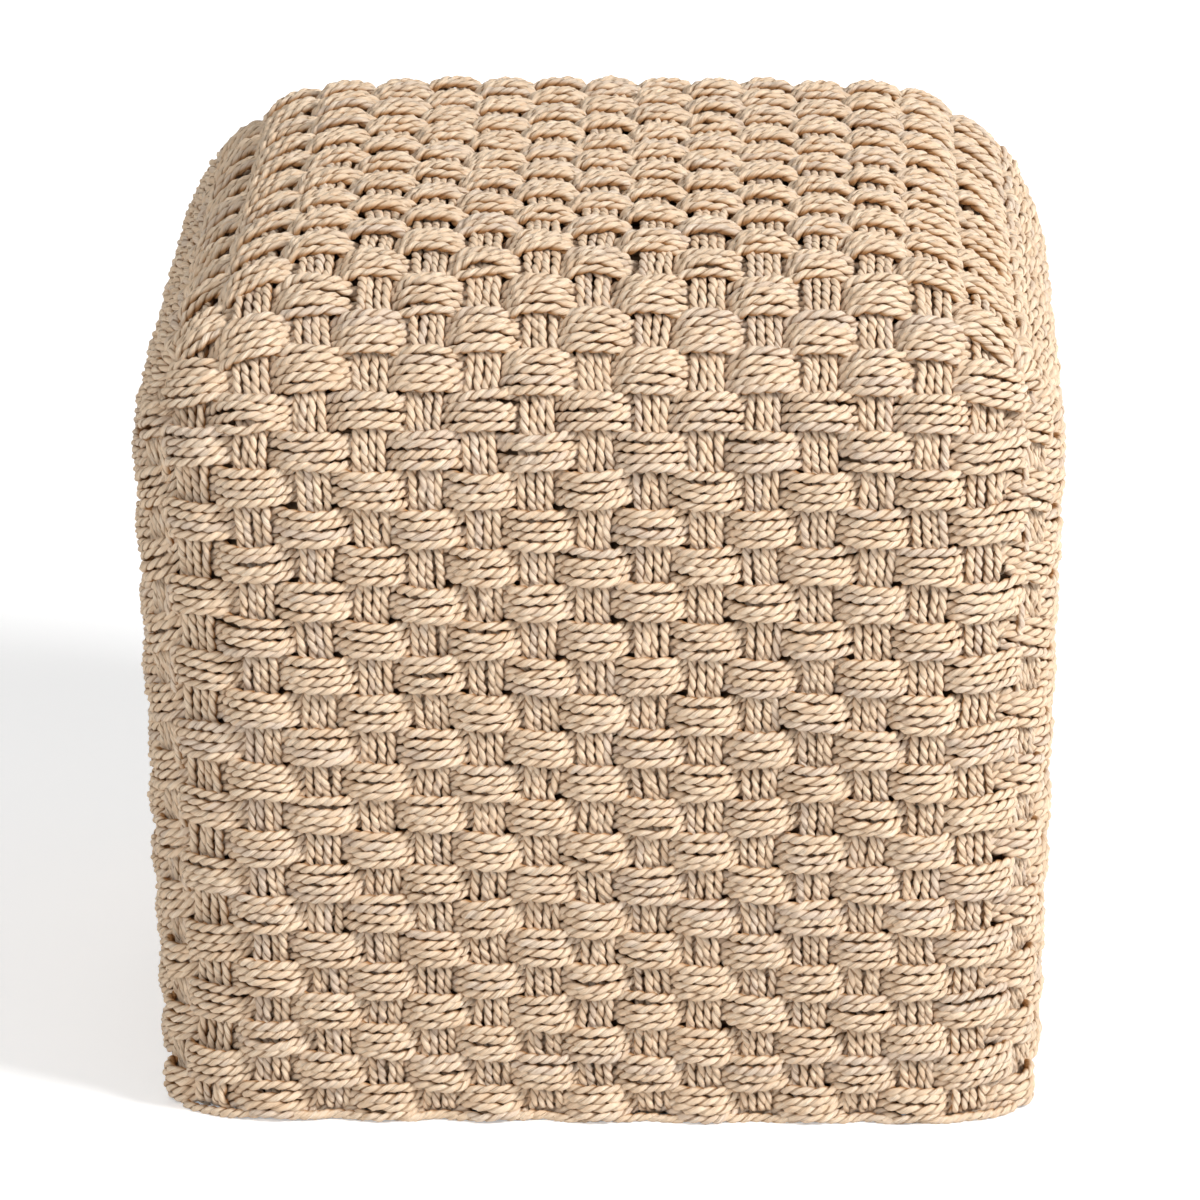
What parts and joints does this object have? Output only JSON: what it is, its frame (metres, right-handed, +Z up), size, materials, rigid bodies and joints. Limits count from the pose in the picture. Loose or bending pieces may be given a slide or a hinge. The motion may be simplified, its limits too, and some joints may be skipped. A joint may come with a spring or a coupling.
{
  "type": "ottoman footstool",
  "caption": "Cube-shaped outdoor footstool with rounded edges, wrapped all over in basket-woven twisted cord on a hidden tube frame.",
  "frame": {"origin": "centre of the footprint, on the floor", "axes": "+Z up, -Y towards the front face that the picture shows, +X to its right"},
  "size_m": [0.4574, 0.4574, 0.4424],
  "materials": {
    "cord": "matt twisted cord",
    "frame": "satin powder coat",
    "glide": "moulded"
  },
  "bodies": {
    "root": {"woven_front": "cord", "woven_back": "cord", "woven_left": "cord", "woven_right": "cord", "woven_seat": "cord", "corner_band_front_right": "cord", "corner_band_front_left": "cord", "corner_band_back_left": "cord", "corner_band_back_right": "cord", "bottom_rail_front": "frame", "bottom_rail_back": "frame", "bottom_rail_left": "frame", "bottom_rail_right": "frame", "bottom_bend_back_right": "frame", "bottom_bend_back_left": "frame", "bottom_bend_front_left": "frame", "bottom_bend_front_right": "frame", "shoulder_rail_front": "frame", "shoulder_rail_back": "frame", "shoulder_rail_left": "frame", "shoulder_rail_right": "frame", "shoulder_bend_back_right": "frame", "shoulder_bend_back_left": "frame", "shoulder_bend_front_left": "frame", "shoulder_bend_front_right": "frame", "post_back_right": "frame", "post_back_left": "frame", "post_front_left": "frame", "post_front_right": "frame", "seat_rail_front": "frame", "seat_rail_back": "frame", "seat_rail_left": "frame", "seat_rail_right": "frame", "strut_front_1": "frame", "strut_front_2": "frame", "strut_back_1": "frame", "strut_back_2": "frame", "strut_left_1": "frame", "strut_left_2": "frame", "strut_right_1": "frame", "strut_right_2": "frame", "slat_1": "frame", "slat_2": "frame", "slat_3": "frame", "slat_4": "frame", "glide_back_right": "glide", "glide_back_left": "glide", "glide_front_left": "glide", "glide_front_right": "glide"}
  },
  "joints": []
}
